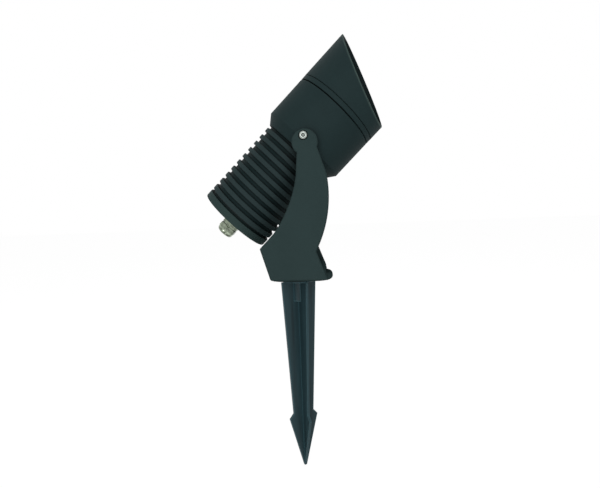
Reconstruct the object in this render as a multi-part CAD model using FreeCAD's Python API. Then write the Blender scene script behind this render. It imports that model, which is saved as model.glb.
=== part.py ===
import FreeCAD, Part
import math
import os

V = FreeCAD.Vector

# Garden spike spotlight: a finned round head in a two-armed yoke on a ground spike.
# Millimetres. +Z is up, +X is the side the head aims at. The origin is on the spike's axis at the
# underside of its top plate, where the ground is when the spike is pushed home.
# The head is drawn along its own axis, +X forward with the pivot at 0, then tilted and lifted.

# ---- stance -----------------------------------------------------------------------------------
head_elevation = 44.7
pivot_offset = 11.9
hood_turn = -32.0

# ---- clearances and edges ---------------------------------------------------------------------
thread_gap = 0.06
running_gap = 0.06
part_gap = 0.1
spigot_gap = 0.3
screw_head_gap = 0.3
screw_tip_room = 1.0
yoke_gap = 1.5
edge_break = 0.3
socket_share = 0.6

# ---- ground spike -----------------------------------------------------------------------------
spike_length = 197.0
spike_flange_r = 17.0
spike_flange_t = 1.6
spike_flange_edge = 0.5
blade_turn = 29.0
blade_t = 2.4
blade_top_r = 19.1
blade_neck_r = 11.3
barb_r = 15.8
barb_depth = 5.2
point_length = 53.0
tip_r = 1.2
spike_boss_wall = 4.3
spike_boss_length = 20.4
spike_screw_r = 2.0
spike_screw_grip = 16.0
spike_screw_head_r = 3.6
spike_screw_head_h = 3.2
spike_washer_r = 6.0
spike_washer_t = 1.0
lock_washer_r = 3.5
lock_washer_t = 1.1
lock_washer_split = 0.8
swivel_washer_t = 0.5
swivel_washer_r = 16.0

# ---- yoke bracket -----------------------------------------------------------------------------
# the arm's upper corners are (x, z) about the pivot and its lower ones (x, height over its bottom edge);
# the ones between lie at a share of the yoke's height below the pivot
yoke_height = 129.4
arm_t = 5.0
arm_edge_r = 2.0
arm_eye_r = 11.75
arm_eye = (1.05, -5.65)
arm_waist = (-6.3, -13.0)
arm_waist_low_x = -8.0
arm_waist_low_share = 0.27
arm_back_curve_x = -17.0
arm_back_curve_share = 0.498
arm_belly_x = 21.0
arm_belly_share = 0.425
arm_chest_x = 19.5
arm_chest_share = 0.259
arm_shoulder = (11.7, -9.6)
arm_heel_top = (-30.1, 43.2)
arm_heel = (-43.3, 29.7)
arm_heel_foot = (-34.5, 0.0)
arm_toe = (18.1, -0.6)
arm_instep = (8.0, 26.0)
arm_heel_r = 1.3
arm_heel_foot_r = 2.4
arm_instep_r = 1.6
arm_chest_r = 6.0
arm_toe_r = 1.5
web_h = 8.0
web_setback = 0.4
web_rear = -32.0
web_drop = 1.0
web_edge_r = 4.0
foot_length = 64.3
foot_w = 42.9
foot_t = 7.7
foot_corner_r = 16.0
foot_rise = 1.3
foot_offset = 3.1
full_round = 0.499

# ---- lamp cup ---------------------------------------------------------------------------------
cup_r = 44.4
cup_rear = -11.2
cup_front = 40.7
cup_shoulder = 9.1
cup_floor_t = 6.5
cup_rim_wall = 2.5
glass_ledge_w = 2.5
glass_ledge_depth = 13.7
pivot_boss_r = 5.8
pivot_boss_length = 9.2
pivot_pad = 0.8

# ---- heat sink --------------------------------------------------------------------------------
fin_r = 37.6
fin_depth = 2.5
fin_count = 10
fin_pitch = 8.32
fin_t = 4.4
fin_edge = 0.4
last_groove_w = 2.87
body_wall = 8.9
platform_t = 18.0
platform_r = 23.6
platform_rise = 9.2
cup_seal_w = 2.0
cup_seal_t = 1.2
cup_seal_edge = 1.6
housing_screw_inset = 3.7
housing_screw_r = 1.5
housing_screw_reach = 12.0
housing_screw_head_r = 2.75
housing_screw_head_h = 3.0
screw_count = 4
screw_angle = 45.0

# ---- rear cap and cable gland -------------------------------------------------------------------
rear_fin_extra = 0.5
cap_groove_w = 2.8
cap_rim_t = 7.45
cap_edge_r = 1.0
cap_wall_t = 4.6
cap_land = 0.5
rear_gasket_t = 0.8
cap_screw_r = 1.5
cap_screw_reach = 11.0
cap_screw_head_r = 2.75
cap_screw_head_h = 3.0
cap_screw_sink = 0.4
gland_hex = 17.0
gland_hex_length = 7.6
gland_chamfer = 1.0
gland_thread_r = 7.5
gland_washer_r = 9.4
gland_washer_t = 0.8
gland_nut_length = 9.3
gland_nut_flat = 5.4
gland_nut_gap = 0.5
gland_dome_r = 3.2
gland_lip_t = 1.0
gland_lip_w = 1.0
gland_neck_wall = 1.0
gland_seal_wall = 2.1
gland_seal_length = 13.0
gland_wire_room = 0.9
cable_r = 3.5
locknut_hex = 19.0
locknut_t = 3.4

# ---- light engine -----------------------------------------------------------------------------
board_inset = 1.1
thermal_pad_t = 0.4
board_t = 1.6
chip_side = 15.8
chip_t = 1.0
emitter_r = 5.6
emitter_t = 0.3
holder_r = 16.0
holder_h = 3.4
holder_window_r = 6.8
holder_window_slope = 1.4
led_screw_ring_r = 12.6
led_screw_r = 1.25
led_screw_head_r = 2.1
led_screw_head_h = 1.5
led_screw_sink = 0.3
led_screw_reach = 9.0
reflector_throat_gap = 0.4
reflector_inset = 1.6
reflector_wall = 1.2
reflector_lip_t = 1.0
reflector_steps = 12
lead_hole_r = 2.6
lead_hole_z = 19.0
lead_r = 0.75
lead_spacing = 2.4
lead_bend_r = 1.6
lead_lift = 0.4
lead_tail = 10.0
driver_gap = 0.3
driver_length = 45.0
driver_flat = 15.0
terminal_depth = 9.0
terminal_width = 22.0
terminal_height = 14.0
terminal_poles = 3
terminal_hole_r = 2.2
terminal_hole_depth = 4.5
terminal_hole_drop = 2.3
terminal_screw_r = 1.8
terminal_screw_depth = 4.6

# ---- glass, bezel and hood ----------------------------------------------------------------------
lens_gasket_t = 1.5
lens_gasket_w = 4.0
glass_t = 4.0
glass_edge = 0.4
bezel_seal_t = 1.2
bezel_wall = 3.9
bezel_groove_w = 1.0
bezel_band_w = 4.6
bezel_spigot_wall = 3.2
bezel_spigot_length = 6.0
hood_step = 0.1
hood_gap = 0.35
hood_wall = 2.0
hood_slant = 27.0
hood_length = 35.95
snap_ring_w = 1.2
snap_ring_at = 3.0
snap_ring_depth = 0.9
snap_ring_rise = 0.55
snap_ring_gap = 0.05
snap_ring_split = 4.0

# ---- pivot ------------------------------------------------------------------------------------
pivot_screw_r = 2.0
pivot_screw_head_r = 3.8
pivot_screw_head_h = 2.2
pivot_screw_top_r = 2.4
pivot_screw_shoulder_r = 3.5
pivot_screw_shoulder_h = 1.2
pivot_screw_socket = 3.0
pivot_screw_socket_depth = 1.3
pivot_screw_pin_r = 0.55
pivot_screw_pin_drop = 0.4
pivot_counterbore = 0.8
pivot_counterbore_gap = 0.6
pivot_bush_wall = 1.4

# ---- places worked out from the sizes above -----------------------------------------------------
hood_r = cup_r + hood_step
boss_face = cup_r + pivot_pad
boss_inner = boss_face - pivot_boss_length
arm_inner = hood_r + yoke_gap
arm_outer = arm_inner + arm_t
pivot_seat = arm_outer - pivot_counterbore
pivot_bush_r = pivot_screw_r + pivot_bush_wall
foot_bottom = spike_flange_t + swivel_washer_t
arm_bottom = foot_bottom + foot_t - foot_rise
pivot_height = arm_bottom + yoke_height
web_bottom = arm_bottom - web_drop
web_top = web_bottom + web_h
barb_z = point_length - spike_length
blade_neck_z = barb_z + barb_depth
floor_front = cup_rear + cup_floor_t
bezel_seat_r = cup_r - cup_rim_wall
cup_bore_r = bezel_seat_r - glass_ledge_w
glass_step = cup_front - glass_ledge_depth
glass_r = bezel_seat_r - spigot_gap
fin_root_r = fin_r - fin_depth
body_bore_r = fin_root_r - body_wall
last_fin_front = cup_rear - last_groove_w
first_fin_rear = last_fin_front - fin_t - (fin_count - 1) * fin_pitch - rear_fin_extra
platform_front = cup_rear + platform_rise
platform_rear = platform_front - platform_t
cup_seal_outer_r = fin_root_r - cup_seal_edge
cup_seal_inner_r = cup_seal_outer_r - cup_seal_w
housing_screw_ring_r = cup_seal_inner_r - housing_screw_inset
cap_screw_ring_r = (body_bore_r + fin_root_r) / 2
cap_pocket_r = body_bore_r - cap_land
cap_front = first_fin_rear - cap_groove_w
cap_rear = cap_front - cap_rim_t
gasket_rear = first_fin_rear - rear_gasket_t
board_r = platform_r - board_inset
board_face = platform_front + thermal_pad_t + board_t
holder_top = board_face + holder_h
reflector_top = glass_step + reflector_lip_t
glass_rear = reflector_top + lens_gasket_t
glass_front = glass_rear + glass_t
bezel_rear = glass_front + bezel_seal_t
bezel_bore_r = bezel_seat_r - bezel_wall
bezel_spigot_r = bezel_bore_r + bezel_spigot_wall
bezel_band_rear = cup_front + bezel_groove_w
bezel_band_front = bezel_band_rear + bezel_band_w
hood_rear = bezel_band_front + hood_gap
hood_axis_front = hood_rear + hood_length
driver_r = body_bore_r - driver_gap
driver_rear = platform_rear - driver_length
hex_front = cap_rear - gland_washer_t
gland_rear = hex_front - gland_hex_length
nut_front = gland_rear - gland_nut_gap
nut_rear = nut_front - gland_nut_length
seal_rear = nut_rear + gland_lip_t
seal_front = seal_rear + gland_seal_length
gland_seal_r = cable_r + gland_seal_wall
gland_neck_r = gland_seal_r + gland_neck_wall


# ---- helpers ----------------------------------------------------------------------------------
def turned(profile):
    """Solid of revolution about +X from (along, radius) points."""
    points = [V(along, 0, radius) for along, radius in profile]
    face = Part.Face(Part.makePolygon(points + points[:1]))
    return face.revolve(V(0, 0, 0), V(1, 0, 0), 360)


def ring(rear, front, outer_r, inner_r):
    return turned([(rear, inner_r), (rear, outer_r), (front, outer_r), (front, inner_r)])


def rod(rear, front, radius, y=0.0, z=0.0):
    return Part.makeCylinder(radius, front - rear, V(rear, y, z), V(1, 0, 0))


def hexagon(rear, front, across_flats, y=0.0, z=0.0):
    corner = across_flats / math.sqrt(3)
    points = []
    for step in range(7):
        angle = math.radians(60 * step)
        points.append(V(rear, y + corner * math.cos(angle), z + corner * math.sin(angle)))
    return Part.Face(Part.makePolygon(points)).extrude(V(front - rear, 0, 0))


def chamfered_hexagon(rear, front, across_flats, chamfer):
    corner = across_flats / math.sqrt(3)
    crown = turned([(rear, 0), (rear, corner - chamfer), (rear + chamfer, corner),
                    (front - chamfer, corner), (front, corner - chamfer), (front, 0)])
    return hexagon(rear, front, across_flats).common(crown)


def round_places(ring_r, count, first=0.0):
    """(y, z) of count places on a circle about the head axis."""
    places = []
    for step in range(count):
        angle = math.radians(first + 360.0 * step / count)
        places.append((ring_r * math.cos(angle), ring_r * math.sin(angle)))
    return places


def fused(shapes):
    return shapes[0].multiFuse(shapes[1:]).removeSplitter()


def edges_where(shape, test):
    return [edge for edge in shape.Edges if test(edge)]


def circles_at(shape, along, radius):
    """Edges that are circles of this radius about the head axis, at this place along it."""
    def fits(edge):
        if not isinstance(edge.Curve, Part.Circle):
            return False
        return abs(edge.Curve.Radius - radius) < part_gap and abs(edge.Curve.Center.x - along) < part_gap
    return edges_where(shape, fits)


def both_sides(shape):
    """The shape at -Y and its mirror image at +Y."""
    return [shape, shape.mirror(V(0, 0, 0), V(0, 1, 0))]


def in_head(shape):
    """Tilt a shape drawn about the head axis and lift it to the pivot."""
    placed = shape.copy()
    placed.rotate(V(0, 0, 0), V(0, 1, 0), -head_elevation)
    placed.translate(V(pivot_offset, 0, pivot_height))
    return placed


def at_pivot(shape):
    """Lift a yoke shape, drawn about the pivot, to its place."""
    placed = shape.copy()
    placed.translate(V(pivot_offset, 0, pivot_height))
    return placed


def socket_screw(head_end, seat, tip, shaft_r, head_r, socket, y=0.0, z=0.0):
    """Cap screw along X: the head from head_end to seat, the shaft on to tip."""
    head = rod(min(head_end, seat), max(head_end, seat), head_r, y, z)
    shaft = rod(min(seat, tip), max(seat, tip), shaft_r, y, z)
    socket_end = head_end + socket_share * (seat - head_end)
    recess = hexagon(min(head_end, socket_end), max(head_end, socket_end), socket, y, z)
    return fused([head, shaft]).cut(recess)


# ---- ground spike -----------------------------------------------------------------------------
def spike_blade():
    side = [(blade_top_r, 0), (blade_neck_r, blade_neck_z), (barb_r, barb_z), (tip_r, -spike_length)]
    outline = [V(x, 0, z) for x, z in side] + [V(-x, 0, z) for x, z in reversed(side)]
    face = Part.Face(Part.makePolygon(outline + outline[:1]))
    face.translate(V(0, -blade_t / 2, 0))
    return face.extrude(V(0, blade_t, 0))


def ground_spike():
    first = spike_blade()
    second = first.copy()
    second.rotate(V(0, 0, 0), V(0, 0, 1), 90)
    flange = Part.makeCylinder(spike_flange_r, spike_flange_t)
    flange = flange.makeFillet(min(spike_flange_edge, full_round * spike_flange_t),
                               edges_where(flange, lambda edge: isinstance(edge.Curve, Part.Circle)))
    boss = Part.makeCylinder(spike_screw_r + spike_boss_wall, spike_boss_length, V(0, 0, -spike_boss_length))
    spike = fused([first, second, boss, flange])
    hole_depth = spike_screw_grip + spike_flange_t + screw_tip_room
    hole = Part.makeCylinder(spike_screw_r + thread_gap, hole_depth, V(0, 0, spike_flange_t - hole_depth))
    spike = spike.cut(hole)
    spike.rotate(V(0, 0, 0), V(0, 0, 1), blade_turn)
    return spike


def flat_washer(bottom, thickness, radius):
    """Washer round the spike's screw."""
    washer = Part.makeCylinder(radius, thickness, V(0, 0, bottom))
    return washer.cut(Part.makeCylinder(spike_screw_r + part_gap, thickness, V(0, 0, bottom)))


def swivel_washer():
    return flat_washer(spike_flange_t, swivel_washer_t, swivel_washer_r)


def spike_washer():
    return flat_washer(web_top, spike_washer_t, spike_washer_r)


def lock_washer():
    bottom = web_top + spike_washer_t
    washer = flat_washer(bottom, lock_washer_t, lock_washer_r)
    split = Part.makeBox(lock_washer_r, lock_washer_split, lock_washer_t, V(0, -lock_washer_split / 2, bottom))
    return washer.cut(split)


def spike_screw():
    seat = web_top + spike_washer_t + lock_washer_t
    screw = socket_screw(seat + spike_screw_head_h, seat, -spike_screw_grip, spike_screw_r,
                         spike_screw_head_r, spike_screw_head_r)
    screw.rotate(V(0, 0, 0), V(0, 1, 0), -90)
    return screw


# ---- yoke bracket -----------------------------------------------------------------------------
def upper(corner):
    x, z = corner
    return V(x, 0, z)


def between(x, share):
    return V(x, 0, -share * yoke_height)


def lower(corner):
    x, height = corner
    return V(x, 0, height - yoke_height)


def arm_outline():
    """Side view of one arm about the pivot: a narrow waist, a broad foot and a kicked-out heel."""
    waist_low = between(arm_waist_low_x, arm_waist_low_share)
    back_curve = between(arm_back_curve_x, arm_back_curve_share)
    back = Part.Arc(waist_low, back_curve, lower(arm_heel_top)).toShape()
    belly = between(arm_belly_x, arm_belly_share)
    chest = between(arm_chest_x, arm_chest_share)
    front = Part.Arc(lower(arm_instep), belly, chest).toShape()
    low = Part.makePolygon([lower(corner) for corner in
                            (arm_heel_top, arm_heel, arm_heel_foot, arm_toe, arm_instep)])
    high = Part.makePolygon([chest, upper(arm_shoulder), upper(arm_waist), waist_low])
    return Part.Face(Part.Wire(back.Edges + low.Edges + front.Edges + high.Edges))


def yoke_arm():
    blade = arm_outline().extrude(V(0, -arm_t, 0))
    eye = Part.makeCylinder(arm_eye_r, arm_t, upper(arm_eye), V(0, -1, 0))
    arm = fused([blade, eye])
    rounded = ((lower(arm_heel), arm_heel_r), (lower(arm_heel_foot), arm_heel_foot_r),
               (lower(arm_instep), arm_instep_r), (between(arm_chest_x, arm_chest_share), arm_chest_r),
               (lower(arm_toe), arm_toe_r))
    for corner, radius in rounded:
        half_way = corner - V(0, arm_t / 2, 0)
        edges = edges_where(arm, lambda edge: edge.CenterOfMass.distanceToPoint(half_way) < part_gap)
        arm = arm.makeFillet(radius, edges)
    rim = edges_where(arm, lambda edge: edge.BoundBox.YMax < part_gap - arm_t)
    arm = arm.makeFillet(min(arm_edge_r, full_round * arm_t), rim)
    arm.translate(V(0, -arm_inner, 0))
    return arm


def yoke_web():
    """Plate between the arms, on a rounded oblong foot with a full-round rim."""
    bottom = web_bottom - pivot_height
    toe, instep = lower(arm_toe), lower(arm_instep)
    lean = (instep.x - toe.x) / (instep.z - toe.z)

    def front(z):
        return V(toe.x + lean * (z - toe.z) - web_setback, -arm_inner, z)
    rear = [V(web_rear, -arm_inner, z) for z in (bottom, bottom + web_h)]
    side = Part.makePolygon(rear + [front(bottom + web_h), front(bottom), rear[0]])
    web = Part.Face(side).extrude(V(0, 2 * arm_inner, 0))
    top_edges = edges_where(web, lambda edge: (abs(edge.CenterOfMass.y) < part_gap
                                               and edge.CenterOfMass.z > bottom + web_h - part_gap))
    web = web.makeFillet(min(web_edge_r, full_round * web_h), top_edges)
    foot_rear = foot_offset - pivot_offset - foot_length / 2
    foot = Part.makeBox(foot_length, foot_w, foot_t, V(foot_rear, -foot_w / 2, foot_bottom - pivot_height))
    uprights = edges_where(foot, lambda edge: edge.BoundBox.ZLength > foot_t - part_gap)
    foot = foot.makeFillet(min(foot_corner_r, full_round * foot_w), uprights)
    rims = edges_where(foot, lambda edge: edge.BoundBox.ZLength < part_gap)
    return fused([web, foot.makeFillet(full_round * foot_t, rims)])


def yoke_bracket():
    bracket = fused(both_sides(yoke_arm()) + [yoke_web()])
    eye_hole = Part.makeCylinder(pivot_bush_r + thread_gap, 2 * arm_outer, V(0, -arm_outer, 0), V(0, 1, 0))
    sink = Part.makeCylinder(pivot_screw_head_r + pivot_counterbore_gap, pivot_counterbore,
                             V(0, -arm_outer, 0), V(0, 1, 0))
    screw_hole = Part.makeCylinder(spike_screw_r + running_gap, pivot_height, V(-pivot_offset, 0, -pivot_height))
    for hole in [eye_hole, screw_hole] + both_sides(sink):
        bracket = bracket.cut(hole)
    return at_pivot(bracket)


def pivot_bushes():
    length = pivot_seat - arm_inner
    bush = Part.makeCylinder(pivot_bush_r, length, V(0, -pivot_seat, 0), V(0, 1, 0))
    bush = bush.cut(Part.makeCylinder(pivot_screw_r + running_gap, length, V(0, -pivot_seat, 0), V(0, 1, 0)))
    return at_pivot(Part.makeCompound(both_sides(bush)))


# ---- lamp cup ---------------------------------------------------------------------------------
def housing_screw_places():
    return round_places(housing_screw_ring_r, screw_count, screw_angle)


def lamp_cup():
    cup = turned([
        (cup_rear, platform_r + part_gap),
        (cup_rear, fin_r),
        (cup_rear + cup_shoulder, cup_r),
        (cup_front - edge_break, cup_r),
        (cup_front, cup_r - edge_break),
        (cup_front, bezel_seat_r),
        (glass_step, bezel_seat_r),
        (glass_step, cup_bore_r),
        (floor_front, cup_bore_r),
        (floor_front, platform_r + part_gap),
    ])
    boss = Part.makeCylinder(pivot_boss_r, pivot_boss_length, V(0, -boss_face, 0), V(0, 1, 0))
    cup = fused([cup] + both_sides(boss))
    cup = cup.cut(Part.makeCylinder(pivot_screw_r + thread_gap, 2 * boss_face, V(0, -boss_face, 0), V(0, 1, 0)))
    for y, z in housing_screw_places():
        cup = cup.cut(rod(cup_rear, floor_front, housing_screw_r + part_gap, y, z))
    return in_head(cup)


def cup_seal():
    return in_head(ring(cup_rear - cup_seal_t, cup_rear, cup_seal_outer_r, cup_seal_inner_r))


def housing_screws():
    screws = []
    for y, z in housing_screw_places():
        screws.append(socket_screw(floor_front + housing_screw_head_h, floor_front,
                                   cup_rear - housing_screw_reach, housing_screw_r,
                                   housing_screw_head_r, housing_screw_head_r, y, z))
    return in_head(Part.makeCompound(screws))


# ---- heat sink --------------------------------------------------------------------------------
def cap_screw_places():
    return round_places(cap_screw_ring_r, screw_count, screw_angle)


def heat_sink_body():
    outline = [(first_fin_rear, body_bore_r)]
    for number in range(fin_count):
        front = last_fin_front - (fin_count - 1 - number) * fin_pitch
        rear = front - fin_t
        if number == 0:
            rear = first_fin_rear
        else:
            outline.append((rear, fin_root_r))
        outline += [(rear, fin_r - fin_edge), (rear + fin_edge, fin_r)]
        outline += [(front - fin_edge, fin_r), (front, fin_r - fin_edge), (front, fin_root_r)]
    outline += [
        (cup_rear, fin_root_r),
        (cup_rear, platform_r),
        (platform_front, platform_r),
        (platform_front, 0),
        (platform_rear, 0),
        (platform_rear, body_bore_r),
    ]
    body = turned(outline)
    body = body.cut(ring(cup_rear - cup_seal_t, cup_rear, cup_seal_outer_r, cup_seal_inner_r))
    for y, z in housing_screw_places():
        hole_end = cup_rear - housing_screw_reach - screw_tip_room
        body = body.cut(rod(hole_end, cup_rear, housing_screw_r + thread_gap, y, z))
    for y, z in cap_screw_places():
        hole_end = first_fin_rear + cap_screw_reach + screw_tip_room
        body = body.cut(rod(first_fin_rear, hole_end, cap_screw_r + thread_gap, y, z))
    for y, z in round_places(led_screw_ring_r, 2):
        hole_end = board_face - led_screw_reach - screw_tip_room
        body = body.cut(rod(hole_end, platform_front, led_screw_r + thread_gap, y, z))
    body = body.cut(rod(platform_rear, platform_front, lead_hole_r, 0, lead_hole_z))
    return in_head(body)


# ---- rear cap and cable gland -------------------------------------------------------------------
def rear_cap():
    cap = turned([
        (cap_rear, gland_thread_r + thread_gap),
        (cap_rear, fin_r),
        (cap_front - fin_edge, fin_r),
        (cap_front, fin_r - fin_edge),
        (cap_front, fin_root_r),
        (gasket_rear, fin_root_r),
        (gasket_rear, cap_pocket_r),
        (cap_rear + cap_wall_t, cap_pocket_r),
        (cap_rear + cap_wall_t, gland_thread_r + thread_gap),
    ])
    cap = cap.makeFillet(cap_edge_r, circles_at(cap, cap_rear, fin_r))
    seat = cap_rear + cap_screw_head_h + cap_screw_sink
    for y, z in cap_screw_places():
        cap = cap.cut(rod(cap_rear, gasket_rear, cap_screw_r + part_gap, y, z))
        cap = cap.cut(rod(cap_rear, seat, cap_screw_head_r + screw_head_gap, y, z))
    return in_head(cap)


def rear_gasket():
    gasket = ring(gasket_rear, first_fin_rear, fin_root_r - spigot_gap, body_bore_r)
    for y, z in cap_screw_places():
        gasket = gasket.cut(rod(gasket_rear, first_fin_rear, cap_screw_r + part_gap, y, z))
    return in_head(gasket)


def rear_cap_screws():
    seat = cap_rear + cap_screw_head_h + cap_screw_sink
    screws = []
    for y, z in cap_screw_places():
        screws.append(socket_screw(seat - cap_screw_head_h, seat, first_fin_rear + cap_screw_reach,
                                   cap_screw_r, cap_screw_head_r, cap_screw_head_r, y, z))
    return in_head(Part.makeCompound(screws))


def gland_washer():
    return in_head(ring(hex_front, cap_rear, gland_washer_r, gland_thread_r + thread_gap))


def gland_body():
    inner_end = cap_rear + cap_wall_t + locknut_t
    neck_end = nut_front - gland_nut_flat
    head = chamfered_hexagon(gland_rear, hex_front, gland_hex, gland_chamfer)
    thread = rod(hex_front, inner_end, gland_thread_r)
    neck = rod(neck_end, gland_rear, gland_neck_r)
    body = fused([head, thread, neck])
    body = body.cut(rod(neck_end, seal_front, gland_seal_r + thread_gap))
    return in_head(body.cut(rod(neck_end, inner_end, cable_r + gland_wire_room)))


def gland_nut():
    shoulder = nut_front - gland_nut_flat
    collar = chamfered_hexagon(shoulder, nut_front, gland_hex, gland_chamfer)
    dome = rod(nut_rear, shoulder, gland_hex / 2)
    dome = dome.makeFillet(gland_dome_r, circles_at(dome, nut_rear, gland_hex / 2))
    nut = fused([collar, dome])
    nut = nut.cut(rod(nut_rear, nut_front, cable_r + gland_lip_w))
    return in_head(nut.cut(rod(seal_rear, nut_front, gland_neck_r + thread_gap)))


def gland_seal():
    return in_head(ring(seal_rear, seal_front, gland_seal_r, cable_r))


def gland_locknut():
    rear = cap_rear + cap_wall_t
    nut = hexagon(rear, rear + locknut_t, locknut_hex)
    return in_head(nut.cut(rod(rear, rear + locknut_t, gland_thread_r + thread_gap)))


# ---- light engine -----------------------------------------------------------------------------
def board_disc(rear, front):
    disc = rod(rear, front, board_r)
    for y, z in round_places(led_screw_ring_r, 2):
        disc = disc.cut(rod(rear, front, led_screw_r + part_gap, y, z))
    return in_head(disc.cut(rod(rear, front, lead_hole_r, 0, lead_hole_z)))


def thermal_pad():
    return board_disc(platform_front, platform_front + thermal_pad_t)


def led_board():
    return board_disc(board_face - board_t, board_face)


def led_chip():
    half = chip_side / 2
    return in_head(Part.makeBox(chip_t, chip_side, chip_side, V(board_face, -half, -half)))


def led_emitter():
    front = board_face + chip_t
    return in_head(rod(front, front + emitter_t, emitter_r))


def led_holder():
    holder = rod(board_face, holder_top, holder_r)
    half = chip_side / 2 + part_gap
    pocket = Part.makeBox(chip_t, 2 * half, 2 * half, V(board_face, -half, -half))
    window = turned([(board_face, 0), (board_face, holder_window_r), (board_face + chip_t, holder_window_r),
                     (holder_top, holder_window_r + holder_window_slope), (holder_top, 0)])
    holder = holder.cut(pocket).cut(window)
    seat = holder_top - led_screw_head_h - led_screw_sink
    for y, z in round_places(led_screw_ring_r, 2):
        holder = holder.cut(rod(board_face, holder_top, led_screw_r + part_gap, y, z))
        holder = holder.cut(rod(seat, holder_top, led_screw_head_r + screw_head_gap, y, z))
    return in_head(holder)


def led_screws():
    seat = holder_top - led_screw_head_h - led_screw_sink
    screws = []
    for y, z in round_places(led_screw_ring_r, 2):
        screws.append(socket_screw(seat + led_screw_head_h, seat, board_face - led_screw_reach,
                                   led_screw_r, led_screw_head_r, led_screw_head_r, y, z))
    return in_head(Part.makeCompound(screws))


def reflector():
    """Parabolic shell from the holder to the glass, with a lip on the cup's step."""
    depth = glass_step - holder_top
    throat_r = holder_window_r + holder_window_slope + reflector_throat_gap
    mouth_r = bezel_bore_r - reflector_inset
    inner = []
    for step in range(reflector_steps + 1):
        share = (step / reflector_steps) ** 1.5
        square = throat_r ** 2 + share * (mouth_r ** 2 - throat_r ** 2)
        inner.append((holder_top + share * depth, math.sqrt(square)))
    outer = [(along, radius + reflector_wall) for along, radius in inner]
    outline = list(reversed(inner)) + outer
    outline += [(glass_step, glass_r), (reflector_top, glass_r), (reflector_top, mouth_r)]
    return in_head(turned(outline))


def led_lead(y):
    bend = lead_bend_r
    top = board_face + bend + lead_lift
    start = V(platform_rear - lead_tail, y, driver_flat)
    rise = V(platform_rear - lead_tail, y, lead_hole_z)
    over = V(top, y, lead_hole_z)
    diagonal = bend * (1 - math.sqrt(0.5))
    path = Part.Wire([
        Part.makeLine(start, rise - V(0, 0, bend)),
        Part.Arc(rise - V(0, 0, bend), rise + V(diagonal, 0, -diagonal), rise + V(bend, 0, 0)).toShape(),
        Part.makeLine(rise + V(bend, 0, 0), over - V(bend, 0, 0)),
        Part.Arc(over - V(bend, 0, 0), over - V(diagonal, 0, diagonal), over - V(0, 0, bend)).toShape(),
        Part.makeLine(over - V(0, 0, bend), V(top, y, holder_r)),
    ])
    section = Part.Wire(Part.makeCircle(lead_r, start, V(0, 0, 1)))
    return path.makePipeShell([section], True, True)


def led_leads():
    return in_head(Part.makeCompound([led_lead(-lead_spacing / 2), led_lead(lead_spacing / 2)]))


def driver_module():
    module = rod(driver_rear, platform_rear, driver_r)
    flat = Part.makeBox(driver_length, 2 * driver_r, driver_r, V(driver_rear, -driver_r, driver_flat))
    return in_head(module.cut(flat))


def terminal_block():
    rear = driver_rear - terminal_depth
    block = Part.makeBox(terminal_depth, terminal_width, terminal_height,
                         V(rear, -terminal_width / 2, -terminal_height / 2))
    for pole in range(terminal_poles):
        y = (pole - (terminal_poles - 1) / 2) * terminal_width / terminal_poles
        block = block.cut(rod(rear, rear + terminal_hole_depth, terminal_hole_r, y, -terminal_hole_drop))
        top = terminal_height / 2
        block = block.cut(Part.makeCylinder(terminal_screw_r, terminal_screw_depth,
                                            V(rear + terminal_depth / 2, y, top - terminal_screw_depth)))
    return in_head(block)


# ---- glass, bezel and hood ----------------------------------------------------------------------
def lens_gasket():
    return in_head(ring(reflector_top, glass_rear, glass_r, glass_r - lens_gasket_w))


def lens_glass():
    return in_head(turned([(glass_rear, 0), (glass_rear, glass_r - glass_edge), (glass_rear + glass_edge, glass_r),
                           (glass_front - glass_edge, glass_r), (glass_front, glass_r - glass_edge),
                           (glass_front, 0)]))


def bezel_seal():
    return in_head(ring(glass_front, bezel_rear, glass_r, bezel_bore_r))


def front_bezel():
    spigot_front = bezel_band_front + bezel_spigot_length
    groove_rear = bezel_band_front + snap_ring_at
    groove_front = groove_rear + snap_ring_w + part_gap
    groove_r = bezel_spigot_r - snap_ring_depth
    return in_head(turned([
        (bezel_rear, bezel_bore_r),
        (bezel_rear, bezel_seat_r - part_gap),
        (bezel_band_rear, bezel_seat_r - part_gap),
        (bezel_band_rear, cup_r - edge_break),
        (bezel_band_rear + edge_break, cup_r),
        (bezel_band_front - edge_break, cup_r),
        (bezel_band_front, cup_r - edge_break),
        (bezel_band_front, bezel_spigot_r),
        (groove_rear, bezel_spigot_r),
        (groove_rear, groove_r),
        (groove_front, groove_r),
        (groove_front, bezel_spigot_r),
        (spigot_front, bezel_spigot_r),
        (spigot_front, bezel_bore_r),
    ]))


def snap_ring():
    rear = bezel_band_front + snap_ring_at
    inner_r = bezel_spigot_r - snap_ring_depth + snap_ring_gap
    band = ring(rear, rear + snap_ring_w, bezel_spigot_r + snap_ring_rise, inner_r)
    gap = Part.makeBox(snap_ring_w, snap_ring_split, bezel_seat_r, V(rear, -snap_ring_split / 2, 0))
    return in_head(band.cut(gap))


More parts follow.
